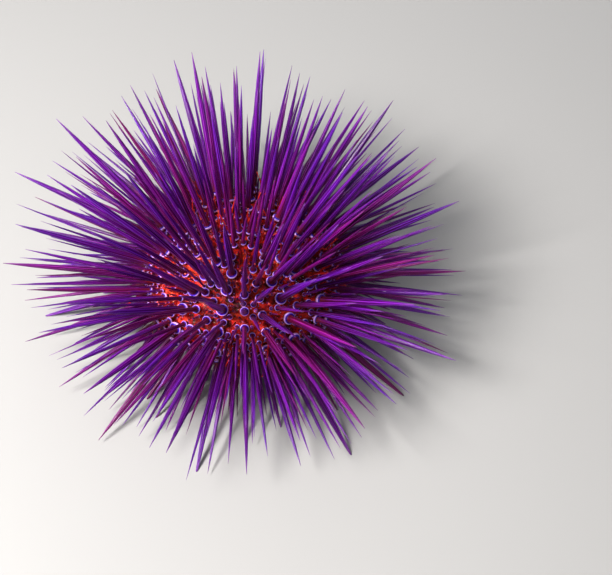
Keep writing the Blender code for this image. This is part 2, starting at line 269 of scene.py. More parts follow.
def fill_in(filling, others, bearing, width, draw):
    """More spines in the room that a zone's columns leave."""
    half = radians(width / 2)
    grown = []
    for _ in range(FILLING_TRIES):
        offset = draw.uniform(-width, width) / 2
        thickness = draw.uniform(*filling.thickness)
        column = Column(filling.zone, offset, 0.0, thickness, draw.uniform(*filling.reach), False)
        spine = grow(column, 1, draw.uniform(*filling.angles), bearing, draw)
        if len(grown) < filling.most and has_room(spine, [*others, *grown], half):
            grown.append(kept_inside(spine, half))
    return grown


def grow(column, side, angle, bearing, draw):
    """One spine of a column, with its chance lean and length, before it is kept inside its zone."""
    radius, height = outline(angle)
    offset = side * column.offset + draw.uniform(-OFFSET_SPREAD, OFFSET_SPREAD)
    root = turned_about_z(Vector((radius, 0, height)), offset)
    lean = draw.uniform(-LEAN, LEAN)
    sway = draw.uniform(-LEAN, LEAN)
    tall = 1 + draw.uniform(-LENGTH_SPREAD, LENGTH_SPREAD)
    tall *= 1 + LONGER_SHARE * cos(radians(bearing + offset - LONGER_SIDE))
    length = LONGEST_SPINE * column.reach * length_share(angle) * tall
    out, up = outward(angle)
    direction = Matrix.Rotation(radians(lean), 3, "Y") @ Vector((out, 0, up))
    direction = turned_about_z(direction, offset + sway)
    thickness = column.thickness * (1 - SLIMMING * (1 - sin(radians(angle))))
    return Spine(root, root + length * direction, thickness, column.main)


def level_tip(root, tip, height):
    """The tip of a spine of the same length and bearing that ends at a height."""
    length = (tip - root).length
    flat = Vector((tip.x - root.x, tip.y - root.y, 0)).normalized()
    drop = root.z - height
    return root + flat * sqrt(max(length * length - drop * drop, 0)) - Vector((0, 0, drop))


def kept_inside(spine, half):
    """A spine with its tip off the floor, or on it where it stands, and clear of the zone's two sides."""
    root, tip, thickness, stands = spine
    stands = stands and tip.z < TIP_CLEARANCE
    if tip.z < TIP_CLEARANCE:
        tip = level_tip(root, tip, 0.0 if stands else TIP_CLEARANCE)
    room = thickness / 2 + JOINT_GAP
    limit = tip.x * tan(half) - room / cos(half)
    if abs(tip.y) > limit:
        length = (tip - root).length
        tip = Vector((tip.x, copysign(limit, tip.y), tip.z))
        if not stands:
            tip = root + (tip - root).normalized() * length
    return Spine(root, tip, thickness, stands)


def placed(spine, bearing):
    """A spine of a zone at its place in the model."""
    root, tip = [turned_about_z(end, bearing - 90) + AXIS_PLACE for end in (spine.root, spine.tip)]
    return spine._replace(root=root, tip=tip)


def apical_spine(index):
    """One short spine of the disc at the top."""
    draw = random.Random(SEED - 1 - index)
    out = APICAL_RADIUS * APICAL_SPINE_PLACES[index % 2]
    height = outline(angle_of_radius(out))[1]
    tall = APICAL_SPINE_LENGTHS[index % 2]
    tall *= 1 + draw.uniform(-APICAL_SPINE_SPREAD, APICAL_SPINE_SPREAD)
    lean = APICAL_SPINE_LEAN
    tip = Vector((out + lean, draw.uniform(-lean, lean), height + tall))
    spine = Spine(Vector((out, 0, height)), tip, APICAL_SPINE_THICKNESS, False)
    return placed(spine, 360 / APICAL_SPINES * index)


# Where things grow

def outline_lengths():
    """Length of the outline from the top down to every tenth of a degree."""
    lengths = [0.0]
    for step in range(1, 180 * ARC_STEPS + 1):
        before = outline((step - 1) / ARC_STEPS)
        lengths.append(lengths[-1] + dist(before, outline(step / ARC_STEPS)))
    return lengths


ARC = outline_lengths()


def patch_of(place):
    """Place of a root on the unwrap: one disc for the upper half and one for the underside."""
    x, y, z = place - AXIS_PLACE
    turn = radians(degrees(atan2(y, x)) + 90)
    angle = degrees(asin(min(hypot(x, y) / TEST_RADIUS, 1.0)))
    angle = angle if z >= WAIST_HEIGHT else 180 - angle
    along = ARC[round(angle * ARC_STEPS)]
    waist = ARC[90 * ARC_STEPS]
    upper = angle <= 90
    reach = UNWRAP_REACH * (along / waist if upper else (ARC[-1] - along) / (ARC[-1] - waist))
    centre = UNWRAP_CENTRES[0 if upper else 1]
    return centre + reach * cos(turn), UNWRAP_LEVEL + reach * sin(turn)


def growth(root, axis, length, thickness, draw, bow=(0.0, 0.0, 0.0)):
    """What one spine, pincer or tube foot grows from."""
    return Growth(root, axis, length, thickness, draw.random(), patch_of(root), bow)


def reddened(grown):
    """A spine's growth, with the redder tints where it is short."""
    if grown.length >= SHORT_SHARE * LONGEST_SPINE:
        return grown
    return grown._replace(tint=SHORT_TINT + (1 - SHORT_TINT) * grown.tint)


class Ground:
    """The shell's surface, with the places that are taken."""

    def __init__(self):
        self.cells = {}

    def cell(self, place):
        return tuple(int(part // CELL) for part in place)

    def take(self, place, radius):
        self.cells.setdefault(self.cell(place), []).append((place, radius))

    def free(self, place, radius):
        near = product(*[(part - 1, part, part + 1) for part in self.cell(place)])
        taken = (one for cell in near for one in self.cells.get(cell, ()))
        return all((place - other).length >= radius + reach for other, reach in taken)


def on_shell(angle, bearing, depth=0.0):
    """A place on the shell, or under it by a depth, and the shell's normal there."""
    radius, height = outline(angle)
    out, up = outward(angle)
    flat = Vector((radius - depth * out, 0, height - depth * up))
    normal = Vector((out, 0, up))
    return turned_about_z(flat, bearing - 90) + AXIS_PLACE, turned_about_z(normal, bearing - 90)


def skin_outline(angle):
    """Radius and height of the skin's outline at an angle."""
    radius, height = outline(angle)
    out, up = outward(max(angle, TOP_ANGLE))
    return radius - SKIN_DEPTH * out, height - SKIN_DEPTH * up


def on_membrane(share, bearing):
    """A place on the skin round the mouth, at a share of the mouth's radius."""
    rim, level = skin_outline(180 - angle_of_radius(MOUTH_RADIUS))
    shares, rises = zip((1.0, 0.0), *MEMBRANE)
    rise = float(np.interp(share, shares[::-1], rises[::-1]))
    return turned_about_z(Vector((rim * share, 0, level + MEMBRANE_SAG * rise)), bearing - 90) + AXIS_PLACE


def scattered(count, first, last, draw, bearings=None):
    """Angles and bearings spread evenly over the shell between two angles, or near some bearings."""
    low, high = ARC[round(first * ARC_STEPS)], ARC[round(last * ARC_STEPS)]
    made = 0
    while made < count:
        arc = draw.uniform(low, high)
        angle = np.searchsorted(ARC, arc) / ARC_STEPS
        if draw.random() > outline(angle)[0] / TEST_RADIUS:
            continue
        made += 1
        if bearings is None:
            yield angle, draw.uniform(0, 360)
        else:
            yield angle, draw.choice(bearings) + draw.uniform(-FOOT_SPREAD, FOOT_SPREAD)


def chance_vector(spread, draw):
    """A vector by chance, within a spread."""
    return Vector([draw.uniform(-spread, spread) for _ in range(3)])


def leaning(normal, spread, draw):
    """A direction near the shell's normal."""
    return (normal + chance_vector(spread, draw)).normalized()


def plant(ground, grown, spine, draw):
    """Add a spine of the solids, and take its place on the shell."""
    axis = spine.tip - spine.root
    grown.append(reddened(growth(spine.root, axis.normalized(), axis.length, spine.thickness, draw)))
    ground.take(spine.root, spine.thickness * ROOT_SHARE)


def thicken(ground, grown, finer):
    """Finer spines in the room that is left."""
    draw = random.Random(SEED + finer.tries)
    for angle, bearing in scattered(finer.tries, *finer.angles, draw):
        thickness = draw.uniform(*finer.thickness)
        place, normal = on_shell(angle, bearing)
        if not ground.free(place, thickness * ROOT_SHARE + finer.gap):
            continue
        ground.take(place, thickness * ROOT_SHARE)
        length = LONGEST_SPINE * draw.uniform(*finer.reach) * length_share(angle)
        length *= 1 + LONGER_SHARE * cos(radians(bearing - LONGER_SIDE))
        axis = leaning(normal, FINER_LEAN, draw)
        if (place + axis * length).z < TIP_CLEARANCE:
            length = max((place.z - TIP_CLEARANCE) / -axis.z, SHORTEST_SPINE)
        grown.append(reddened(growth(place, axis, length, thickness, draw)))


def sow(ground, grown, soft, draw, bearings=None):
    """Tube feet or pincers in the room that is left."""
    for angle, bearing in scattered(soft.tries, *soft.angles, draw, bearings):
        place, normal = on_shell(angle, bearing, SKIN_DEPTH)
        if ground.free(place, soft.room):
            ground.take(place, soft.room)
            length = draw.uniform(*(soft.above if angle < UNDERSIDE else soft.below))
            bow = tuple(chance_vector(soft.bow, draw) * length)
            axis = leaning(normal, soft.lean, draw)
            grown.append(growth(place, axis, length, draw.uniform(*soft.thickness), draw, bow))


def furnish_mouth(ground, kinds, draw):
    """Ten thick feet and many short pincers on the skin round the mouth."""
    down = Vector((0, 0, -1))
    for number in range(ZONES):
        for side in (-MOUTH_FOOT_APART, MOUTH_FOOT_APART):
            place = on_membrane(MOUTH_FOOT_SHARE, FIRST_AMBULACRUM + ZONE_TURN * number + side)
            length = draw.uniform(*MOUTH_FOOT_LENGTHS)
            bow = tuple(chance_vector(MOUTH_FOOT_BOW, draw) * length)
            axis = leaning(down, MOUTH_LEAN, draw)
            kinds["feet"].append(growth(place, axis, length, MOUTH_FOOT_THICKNESS, draw, bow))
            ground.take(place, MOUTH_FOOT_ROOM)
    for _ in range(MOUTH_PINCER_TRIES):
        share = sqrt(draw.uniform(*MOUTH_PINCER_SHARES))
        place = on_membrane(share, draw.uniform(0, 360))
        if ground.free(place, PINCERS.room):
            ground.take(place, PINCERS.room)
            axis = leaning(down, MOUTH_LEAN, draw)
            length = draw.uniform(*MOUTH_PINCER_LENGTHS)
            kinds["pincers"].append(growth(place, axis, length, draw.uniform(*PINCERS.thickness), draw))


def lay_out():
    """All that grows on the shell, by kind."""
    ground = Ground()
    kinds = {name: [] for name in "wide narrow standing apical filling small pincers feet".split()}
    draw = random.Random(SEED)
    middles = [FIRST_AMBULACRUM + ZONE_TURN * number for number in range(ZONES)]
    for number, middle in enumerate(middles):
        for kind, bearing, width in ((NARROW, middle, AMBULACRUM_WIDTH),
                                     (WIDE, middle + ZONE_TURN / 2, INTERAMBULACRUM_WIDTH)):
            for spine in zone_spines(kind, number, bearing, width):
                name = "standing" if spine.stands else "wide" if kind == WIDE else "narrow"
                plant(ground, kinds[name], placed(spine, bearing), draw)
    for index in range(APICAL_SPINES):
        plant(ground, kinds["apical"], apical_spine(index), draw)
    for finer in FINER:
        thicken(ground, kinds[finer.kind], finer)
    sow(ground, kinds["feet"], FEET, draw, [middle + side for middle in middles for side in FOOT_COLUMNS])
    sow(ground, kinds["pincers"], PINCERS, draw)
    furnish_mouth(ground, kinds, draw)
    return kinds


# Forms of what grows: a station is (height, share of the stretch, radius, paint)
# Heights and radii are in thicknesses

COLLAR_STATIONS = (
    (-0.6, 0, 0.46, 0), (-0.1, 0, 0.49, 0.03), (0.2, 0, 0.44, 0.07), (0.33, 0, 0.57, 0.1),
    (0.4, 0, 0.67, 0.12), (0.51, 0, 0.7, 0.14), (0.61, 0, 0.66, 0.16), (0.67, 0, 0.57, 0.18),
    (0.74, 0, 0.44, 0.2), (0.92, 0, 0.37, 0.24),
)
SPINE_STATIONS = COLLAR_STATIONS + (
    (0.92, 0.1, 0.37, 0.32), (0.92, 0.28, 0.37, 0.44), (0.92, 0.48, 0.34, 0.56), (0.92, 0.66, 0.27, 0.68),
    (0.92, 0.82, 0.18, 0.8), (0.92, 0.94, 0.08, 0.92), (0.92, 1, 0.02, 1),
)
BLUNT_STATIONS = COLLAR_STATIONS + (
    (0.92, 0.2, 0.38, 0.4), (0.92, 0.45, 0.35, 0.54), (0.92, 0.66, 0.29, 0.68), (0.92, 0.82, 0.21, 0.8),
    (0.92, 0.95, 0.14, 0.92), (0.92, 1, 0.08, 1),
)
PLAIN_STATIONS = (
    (-0.45, 0, 0.46, 0), (0.2, 0, 0.44, 0.07), (0.37, 0, 0.63, 0.11), (0.5, 0, 0.7, 0.14),
    (0.63, 0, 0.63, 0.17), (0.74, 0, 0.45, 0.2), (0.92, 0, 0.38, 0.24), (0.92, 0.32, 0.37, 0.46),
    (0.92, 0.62, 0.29, 0.66), (0.92, 0.86, 0.14, 0.84), (0.92, 1, 0.02, 1),
)
SMALL_STATIONS = (
    (-0.4, 0, 0.46, 0), (0.15, 0, 0.46, 0.06), (0.42, 0, 0.7, 0.13), (0.62, 0, 0.6, 0.17),
    (0.92, 0, 0.43, 0.24), (0.92, 0.4, 0.36, 0.5), (0.92, 0.75, 0.23, 0.76), (0.92, 1, 0.04, 1),
)
PINCER_STATIONS = (
    (-0.4, 0, 0.2, 0), (0, 0.92, 0.13, 0.55), (0, 1, 0.26, 0.62), (0.3, 1, 0.52, 0.75),
    (0.7, 1, 0.42, 0.9), (1.05, 1, 0.06, 1),
)
FOOT_STATIONS = (
    (-0.5, 0, 0.55, 0), (0, 0.06, 0.4, 0.08), (0, 0.35, 0.34, 0.3), (0, 0.65, 0.3, 0.5),
    (0, 0.95, 0.3, 0.7), (0.05, 1, 0.46, 0.8), (0.16, 1, 0.58, 0.88), (0.26, 1, 0.52, 0.94),
    (0.2, 1, 0.3, 1),
)
RIBS = 8
RIB_DEPTH = 0.06
PINCER_JAWS = 3
JAW_DEPTH = 0.16
JAW_START = 0.6
SHAFT_START = 0.9
Form = namedtuple("Form", "profile sides ridge lobes", defaults=(0.0, 0))
FORMS = {
    "fine spine": Form(SPINE_STATIONS, 2 * RIBS, RIB_DEPTH),
    "blunt spine": Form(BLUNT_STATIONS, 2 * RIBS, RIB_DEPTH),
    "plain spine": Form(PLAIN_STATIONS, 8),
    "small spine": Form(SMALL_STATIONS, 7),
    "pincer": Form(PINCER_STATIONS, 6, lobes=PINCER_JAWS),
    "tube foot": Form(FOOT_STATIONS, 8),
}


def linked(name, data):
    """A new object in the scene."""
    obj = bpy.data.objects.new(name, data)
    bpy.context.scene.collection.objects.link(obj)
    return obj


def carry(mesh, name, kind, values, domain="POINT"):
    """Store a value for each point or corner of a mesh."""
    stored = mesh.attributes.new(name, kind, domain)
    stored.data.foreach_set("value" if kind == "FLOAT" else "vector", np.array(values, np.float32).ravel())


def tube_faces(first, rows, sides):
    """The faces round a tube of rows of points, from the first point on."""
    faces = []
    for low in range(first, first + (rows - 1) * sides, sides):
        for side in range(sides):
            after = (side + 1) % sides
            faces.append((low + side, low + after, low + sides + after, low + sides + side))
    return faces


def build_form(name, profile, sides, ridge, lobes):
    """A closed mesh to grow from a point, with its paint, its stretch, its grain and its unwrap."""
    places, paints, stretches, grains = [], [], [], []
    for height, stretch, radius, paint in profile:
        for side in range(sides):
            turn = 2 * pi * side / sides
            swell = 1 + ridge * (1 if side % 2 else -1) * (stretch > 0)
            if lobes:
                swell += JAW_DEPTH * cos(lobes * turn) * (paint > JAW_START)
            places.append((radius * swell * cos(turn), radius * swell * sin(turn), height))
            paints.append(paint)
            stretches.append(stretch)
            grains.append((cos(turn), sin(turn), paint))
    lays = []
    for (*_, low), (*_, high) in zip(profile, profile[1:]):
        for side in range(sides):
            left, right = side / sides, (side + 1) / sides
            lays += [(left, low), (right, low), (right, high), (left, high)]
    lays += [(side / sides, 0.0) for side in range(sides - 1, -1, -1)]
    lays += [(side / sides, 1.0) for side in range(sides)]
    faces = tube_faces(0, len(profile), sides)
    faces += [tuple(range(sides - 1, -1, -1)), tuple(range(len(places) - sides, len(places)))]
    mesh = bpy.data.meshes.new(name)
    mesh.from_pydata(places, [], faces)
    carry(mesh, "paint", "FLOAT", paints)
    carry(mesh, "stretch", "FLOAT", stretches)
    carry(mesh, "grain", VECTOR, grains)
    carry(mesh, "lay", "FLOAT2", lays, "CORNER")
    mesh.shade_smooth()
    return linked(name, mesh)


def points_object(name, growths):
    """A mesh of points with what each growth needs."""
    mesh = bpy.data.meshes.new(name)
    mesh.from_pydata([tuple(one.root) for one in growths], [], [])
    carry(mesh, "axis", VECTOR, [tuple(one.axis) for one in growths])
    carry(mesh, "bow", VECTOR, [tuple(one.bow) for one in growths])
    carry(mesh, "patch", VECTOR, [(*one.patch, 0.0) for one in growths])
    for name in ("length", "thickness", "tint"):
        carry(mesh, name, "FLOAT", [getattr(one, name) for one in growths])
    return linked(mesh.name, mesh)


class Wiring:
    """Adds nodes to a tree. A socket given to an input is linked, and any other value is set."""

    def __init__(self, tree):
        self.tree = tree

    def fill(self, node, inputs):
        for key, value in inputs.items():
            if isinstance(value, bpy.types.NodeSocket):
                self.tree.links.new(value, node.inputs[key])
            else:
                node.inputs[key].default_value = value

    def add(self, kind, inputs=None, output=0, **settings):
        node = self.tree.nodes.new(kind)
        for name, value in settings.items():
            setattr(node, name, value)
        self.fill(node, inputs or {})
        return node.outputs[output]

    def math(self, operation, *values):
        return self.add("ShaderNodeMath", dict(enumerate(values)), operation=operation)

    def times(self, *values):
        return self.math("MULTIPLY", *values)

    def vector(self, operation, *values, output=0):
        return self.add("ShaderNodeVectorMath", dict(enumerate(values)), output, operation=operation)

    def scaled(self, vector, factor):
        return self.add("ShaderNodeVectorMath", {0: vector, 3: factor}, operation="SCALE")

    def parts(self, vector):
        return self.add("ShaderNodeSeparateXYZ", {0: vector}).node.outputs[:3]

    def ranged(self, value, given, wanted, **settings):
        """A value moved from one range to another, and kept inside it."""
        inputs = {0: value, 1: given[0], 2: given[1], 3: wanted[0], 4: wanted[1]}
        return self.add("ShaderNodeMapRange", inputs, clamp=True, **settings)

    def noise(self, place, scale, detail, **more):
        return self.add("ShaderNodeTexNoise", {"Vector": place, "Scale": scale, "Detail": detail, **more})

    def step(self, kind, geometry, **inputs):
        """A step that changes geometry."""
        return self.add("GeometryNode" + kind, {"Geometry": geometry, **inputs})

    def named(self, name, kind="FLOAT"):
        """A value that the geometry carries."""
        return self.add("GeometryNodeInputNamedAttribute", {"Name": name}, data_type=kind)

    def carried(self, name, output=2):
        """A value that the piece carries, in its finish."""
        return self.add("ShaderNodeAttribute", output=output, attribute_name=name)

    def place(self):
        """The place on a piece, in metres."""
        return self.add("ShaderNodeTexCoord", output=3)

    def mixed(self, factor, first, second, blend="MIX"):
        """Two colours mixed by a factor."""
        inputs = {0: factor, 6: first, 7: second}
        return self.add("ShaderNodeMix", inputs, 2, data_type="RGBA", blend_type=blend)

    def ramp(self, factor, stops, interpolation="LINEAR"):
        """A colour ramp with stops of (place, colour)."""
        node = self.tree.nodes.new("ShaderNodeValToRGB")
        node.color_ramp.interpolation = interpolation
        elements = node.color_ramp.elements
        for element, (place, colour) in zip(elements, (stops[0], stops[-1])):
            element.position = place
            element.color = (*colour, 1.0)
        for place, colour in stops[1:-1]:
            elements.new(place).color = (*colour, 1.0)
        self.fill(node, {0: factor})
        return node.outputs[0]


def tree_with(name, sockets):
    """A geometry tree with its named inputs: its wiring and its input node's sockets by name."""
    tree = bpy.data.node_groups.new(name, "GeometryNodeTree")
    tree.interface.new_socket("Geometry", in_out="OUTPUT", socket_type="NodeSocketGeometry")
    for title, kind in {"Geometry": "Geometry", **sockets}.items():
        tree.interface.new_socket(title, in_out="INPUT", socket_type=f"NodeSocket{kind}")
    given = tree.nodes.new("NodeGroupInput")
    return Wiring(tree), {socket.name: socket for socket in given.outputs}


def finished_tree(wire, geometry, material):
    """A tree with its material and its output wired."""
    dressed = wire.step("SetMaterial", geometry, Material=material)
    wire.fill(wire.tree.nodes.new("NodeGroupOutput"), {0: dressed})
    return wire.tree


def growing_tree():
    """A form on each point, turned along its axis, scaled by its thickness and drawn out to its length."""
    wire, given = tree_with("Grow from the shell", {
        "Form": "Object", "Shaft start": "Float", "Floor level": "Float", "Patch size": "Float",
        "Seed": "Int", "Material": "Material"})
    form = wire.add("GeometryNodeObjectInfo", {"Object": given["Form"]}, 4)
    axis = wire.named("axis", VECTOR)
    thickness = wire.named("thickness")
    aimed = wire.add("FunctionNodeAlignRotationToVector", {"Vector": axis}, axis="Z")
    chance = wire.add("FunctionNodeRandomValue", {2: 0.0, 3: 2 * pi, "Seed": given["Seed"]}, 1,
                      data_type="FLOAT")
    about = wire.add("FunctionNodeAxisAngleToRotation", {"Axis": (0.0, 0.0, 1.0), "Angle": chance})
    turned = wire.add("FunctionNodeRotateRotation", {"Rotation": aimed, "Rotate By": about},
                      rotation_space="LOCAL")
    grown = wire.add("GeometryNodeInstanceOnPoints", {
        "Points": given["Geometry"], "Instance": form, "Rotation": turned, "Scale": thickness})
    grown = wire.step("RealizeInstances", grown)
    stretch = wire.named("stretch")
    foot = wire.times(thickness, given["Shaft start"])
    drawn = wire.times(wire.math("SUBTRACT", wire.named("length"), foot), stretch)
    bend = wire.scaled(wire.named("bow", VECTOR), wire.times(stretch, stretch))
    offset = wire.vector("ADD", wire.scaled(axis, drawn), bend)
    moved = wire.vector("ADD", wire.add("GeometryNodeInputPosition"), offset)
    # Only the height is held: a metre aside is beyond any spine
    level = wire.add("ShaderNodeCombineXYZ", {0: -1.0, 1: -1.0, 2: given["Floor level"]})
    lifted = wire.vector("MAXIMUM", moved, level)
    grown = wire.step("SetPosition", grown, Position=lifted)
    centred = wire.vector("SUBTRACT", wire.named("lay", VECTOR), (0.5, 0.5, 0.0))
    laid = wire.scaled(centred, given["Patch size"])
    laid = wire.vector("ADD", wire.named("patch", VECTOR), laid)
    inputs = {"Geometry": grown, "Name": "OFBake", "Value": laid}
    grown = wire.add("GeometryNodeStoreNamedAttribute", inputs, data_type="FLOAT2", domain="CORNER")
    for name in "axis thickness length bow stretch patch lay".split():
        grown = wire.step("RemoveAttribute", grown, Name=name)
    return finished_tree(wire, grown, given["Material"])


def frozen(obj):
    """An object with the result of its modifier kept as a plain mesh."""
    mesh = bpy.data.meshes.new_from_object(obj.evaluated_get(bpy.context.evaluated_depsgraph_get()))
    obj.modifiers.clear()
    obj.data = mesh
    mesh.name = obj.name
    return obj


def run_tree(obj, tree, values):
    """Run a tree on an object with its inputs set."""
    modifier = obj.modifiers.new(tree.name, "NODES")
    modifier.node_group = tree
    for socket in tree.interface.items_tree:
        if socket.in_out == "INPUT" and socket.name in values:
            modifier[socket.identifier] = values[socket.name]
    return frozen(obj)


def grown_piece(name, growths, shape, start, material, tree):
    """A piece of many like forms, one on each growth."""
    piece = run_tree(points_object(name, growths), tree, {
        "Form": shape, "Shaft start": start, "Floor level": 0.0, "Patch size": PATCH, "Seed": SEED,
        "Material": material})
    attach(piece, "root")


# The skin

SKIN_ROWS = 150
SKIN_TURNS = 360
MERGE_DISTANCE = 0.000002
BAND_FADE = 1.25
BOSS_HEIGHT = 0.0006
BOSS_SPREAD = 1.15
BOSS_FULL_SIZE = 0.002
BOSS_MOST = 1.2
FOLD_HEIGHT = 0.0007
FOLD_SCALE = 420.0


def skin_profile():
    """The skin's outline from the top to the roof of the mouth, as (radius, height)."""
    last = 180 - angle_of_radius(MOUTH_RADIUS)
    points = [skin_outline(last * row / SKIN_ROWS) for row in range(SKIN_ROWS + 1)]
    rim, level = points[-1]
    points += [(rim * share, level + MEMBRANE_SAG * rise) for share, rise in MEMBRANE]
    return [(0.0, points[0][1]), *points[1:], (0.0, points[-1][1])]


def raising_tree():
    """Bosses under the spines, and fine folds."""
    wire, given = tree_with("Raise the bosses", {
        "Roots": "Object", "Boss height": "Float", "Fold height": "Float", "Fold scale": "Float",
        "Material": "Material"})
    roots = wire.add("GeometryNodeObjectInfo", {"Object": given["Roots"]}, 4)
    place = wire.add("GeometryNodeInputPosition")
    nearest = wire.add("GeometryNodeSampleNearest", {"Geometry": roots, "Sample Position": place},
                       domain="POINT")
    centre, size = [
        wire.add("GeometryNodeSampleIndex", {"Geometry": roots, "Value": value, "Index": nearest},
                 data_type=kind, domain="POINT")
        for value, kind in ((place, VECTOR), (wire.named("thickness"), "FLOAT"))]
    away = wire.vector("DISTANCE", place, centre, output=1)
    share = wire.math("DIVIDE", away, wire.times(size, BOSS_SPREAD))
    boss = wire.ranged(share, (0.45, 1.0), (1.0, 0.0), interpolation_type="SMOOTHSTEP")
    stout = wire.math("MINIMUM", wire.math("DIVIDE", size, BOSS_FULL_SIZE), BOSS_MOST)
    raised = wire.times(wire.times(boss, given["Boss height"]), stout)
    folds = wire.noise(place, given["Fold scale"], 3.0)
    folded = wire.times(wire.math("SUBTRACT", folds, 0.5), given["Fold height"])
    lift = wire.scaled(wire.add("GeometryNodeInputNormal"), wire.math("ADD", raised, folded))
    skin = wire.step("SetPosition", given["Geometry"], Offset=lift)
    return finished_tree(wire, skin, given["Material"])


def outward_facing(mesh):
    """Turn a closed mesh's faces outwards."""
    bm = bmesh.new()
    bm.from_mesh(mesh)
    bmesh.ops.recalc_face_normals(bm, faces=bm.faces)
    bm.to_mesh(mesh)
    bm.free()


def build_skin(roots, material):
    """One skin over the whole shell, turned from its outline, with bands along the narrow zones."""
    profile = skin_profile()
    mesh = bpy.data.meshes.new("skin")
    mesh.from_pydata([(radius, 0.0, height) for radius, height in profile],
                     [(row, row + 1) for row in range(len(profile) - 1)], [])
    skin = linked("skin", mesh)
    screw = skin.modifiers.new("Turn", "SCREW")
    screw.steps = screw.render_steps = SKIN_TURNS
    screw.use_merge_vertices = True
    screw.merge_threshold = MERGE_DISTANCE
    screw.use_smooth_shade = True
    turned = frozen(skin).data
    turned.transform(Matrix.Translation(AXIS_PLACE))
    outward_facing(turned)
    places = np.empty(len(turned.vertices) * 3, np.float32)
    turned.vertices.foreach_get("co", places)
    x, y, _ = (places.reshape(-1, 3) - np.array(AXIS_PLACE, np.float32)).T
    bearings = np.degrees(np.arctan2(y, x)) + 90 - FIRST_AMBULACRUM
    off = np.abs((bearings + ZONE_TURN / 2) % ZONE_TURN - ZONE_TURN / 2)
    carry(turned, "band", "FLOAT", np.clip(BAND_FADE - off / (AMBULACRUM_WIDTH / 2), 0, 1))
    run_tree(skin, raising_tree(), {
        "Roots": roots, "Boss height": BOSS_HEIGHT, "Fold height": FOLD_HEIGHT, "Fold scale": FOLD_SCALE,
        "Material": material})
    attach(skin, "root")
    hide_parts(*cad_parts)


# The teeth: each row is (share of the length, width, depth, how far it bends out)

TEETH = 5
TOOTH_LENGTH = 0.0032
TOOTH_ROOT_RADIUS = 0.0024 - 0.00084
TOOTH_TIP_RADIUS = 0.0003
TOOTH_SIDES = 10
TOOTH_KEEL = 1.35
TOOTH_SHARP_ANGLE = 50
TOOTH_ROWS = (
    (-0.15, 0.00125, 0.00085, 0),
    (0.2, 0.0012, 0.0008, 0.0001),
    (0.5, 0.00108, 0.00068, 0.00016),
    (0.75, 0.0009, 0.00048, 0.00013),
    (0.9, 0.0007, 0.00028, 0.00007),
    (1, 0.00052, 0.0001, 0),
)


def build_teeth(material):
    """The tips of the five teeth: keeled plates that curve in and end in a chisel edge."""
    hollow = outline(180 - angle_of_radius(MOUTH_RADIUS))[1] + MOUTH_THICKNESS / 2
    root = Vector((TOOTH_ROOT_RADIUS, 0, hollow))
    tip = Vector((TOOTH_TIP_RADIUS, 0, hollow - TOOTH_LENGTH))
    places, faces = [], []
    for index in range(TEETH):
        bearing = FIRST_AMBULACRUM + 180 / TEETH + 360 / TEETH * index
        first = len(places)
        for share, width, depth, bend in TOOTH_ROWS:
            middle = root.lerp(tip, share) + Vector((bend, 0, 0))
            for side in range(TOOTH_SIDES):
                turn = 2 * pi * side / TOOTH_SIDES
                keel = TOOTH_KEEL if side == TOOTH_SIDES // 2 else 1.0
                edge = Vector((keel * depth / 2 * cos(turn), width / 2 * sin(turn), 0))
                places.append(tuple(turned_about_z(middle + edge, bearing - 90) + AXIS_PLACE))
        faces += tube_faces(first, len(TOOTH_ROWS), TOOTH_SIDES)
        faces += [tuple(range(end, end + TOOTH_SIDES)) for end in (first, len(places) - TOOTH_SIDES)]
    mesh = bpy.data.meshes.new("teeth")
    mesh.from_pydata(places, [], faces)
    outward_facing(mesh)
    mesh.shade_smooth()
    mesh.set_sharp_from_angle(angle=radians(TOOTH_SHARP_ANGLE))
    teeth = linked("teeth", mesh)
    mesh.materials.append(material)
    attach(teeth, "root")


# Finishes: colours go from root to tip as (paint, colour), and a sort is (its highest tint, its colours)

SPINE_COLOURS = (
    (0, (0.055, 0.001, 0.002)), (0.07, (0.14, 0.003, 0.006)), (0.104, (0.09, 0.005, 0.03)),
    (0.12, (0.62, 0.25, 0.72)), (0.166, (0.8, 0.45, 0.95)), (0.174, (0.05, 0.015, 0.72)),
    (0.19, (0.025, 0.002, 0.22)), (0.215, (0.125, 0.007, 0.008)), (0.36, (0.12, 0.003, 0.024)),
    (0.5, (0.1, 0.0006, 0.15)), (0.8, (0.115, 0.0008, 0.27)), (1, (0.4, 0.14, 0.58)),
)
SMALL_SPINE_COLOURS = (
    (0, (0.06, 0.001, 0.002)), (0.07, (0.2, 0.003, 0.005)), (0.11, (0.22, 0.02, 0.07)),
    (0.135, (0.3, 0.08, 0.34)), (0.18, (0.06, 0.004, 0.16)), (0.24, (0.14, 0.005, 0.02)),
    (0.55, (0.16, 0.004, 0.06)), (1, (0.34, 0.06, 0.22)),
)
REDDISH_PURPLE = (0.19, 0.003, 0.03, 1)
# Painted shade: the colour that the grooves between the ribs are darkened to, shared with the darker
# streaks
GROOVE_SHADE_AND_STREAK_PURPLE = (0.012, 0.0004, 0.02, 1)
LIT_VIOLET = (0.12, 0.003, 0.52, 1)
LIT_MAGENTA = (0.26, 0.004, 0.33, 1)
# Painted highlights: the pale colours laid on the rib crests
PAINTED_HIGHLIGHT_LAVENDER = (0.2, 0.055, 0.68, 1)
PAINTED_HIGHLIGHT_PINK = (0.46, 0.04, 0.42, 1)
SKIN_COLOURS = (
    (0.41, (0.02, 0.0003, 0.001)), (0.47, (0.17, 0.0014, 0.003)), (0.53, (0.58, 0.007, 0.007)),
    (0.64, (1, 0.055, 0.014)),
)
FIBRE_RED = (0.9, 0.022, 0.014, 1)
# Painted shade in the hollows between the skin's raised fibres
HOLLOW_SHADE_RED = (0.03, 0.0004, 0.002, 1)
SPOT_COLOURS = (
    (0.9, (0.3, 0.06, 0.7)), (0.95, (0.08, 0.03, 0.7)), (0.98, (0.9, 0.4, 0.06)), (1, (0.75, 0.35, 0.55)),
)
PINCER_PLACES = (0, 0.55, 0.68, 1)
